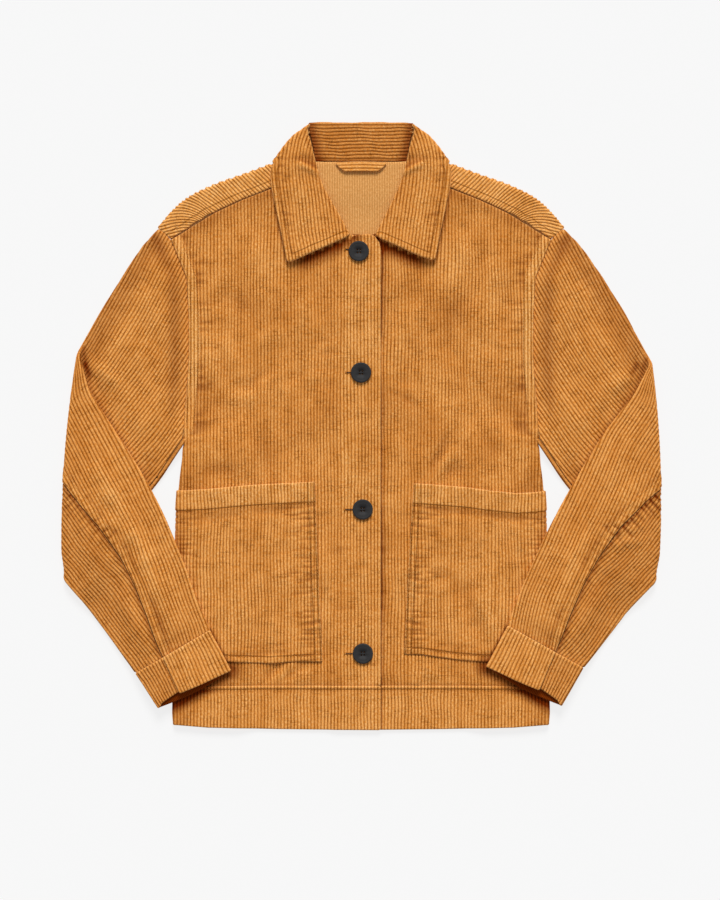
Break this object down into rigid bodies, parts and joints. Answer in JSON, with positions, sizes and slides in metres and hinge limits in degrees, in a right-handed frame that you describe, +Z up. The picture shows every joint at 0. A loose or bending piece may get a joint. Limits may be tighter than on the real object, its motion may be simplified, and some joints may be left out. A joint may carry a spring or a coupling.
{
  "type": "corduroy overshirt",
  "caption": "Unlined corduroy overshirt laid face up, buttoned, with a turn-down collar, patch pockets, tucked sides and sleeves folded in over the body",
  "frame": {"origin": "on the surface it lies on, under the middle of the garment's outline", "axes": "+X to the wearer's left, +Y from hem to collar, +Z up from the surface"},
  "size_m": [0.6462, 0.6561, 0.0177],
  "materials": {
    "corduroy": "ribbed, matt with a soft nap",
    "button": "satin charcoal"
  },
  "bodies": {
    "root": {"back": "corduroy", "yoke": "corduroy", "front_left": "corduroy", "front_right": "corduroy", "hem_band_back": "corduroy", "hem_band_left": "corduroy", "hem_band_right": "corduroy", "pocket_left": "corduroy", "pocket_right": "corduroy", "collar": "corduroy", "hanger_loop": "corduroy", "sleeve_left_top": "corduroy", "sleeve_left_under": "corduroy", "sleeve_right_top": "corduroy", "sleeve_right_under": "corduroy", "cuff_left": "corduroy", "cuff_right": "corduroy", "button_1": "button", "button_2": "button", "button_3": "button", "button_4": "button"}
  },
  "joints": []
}
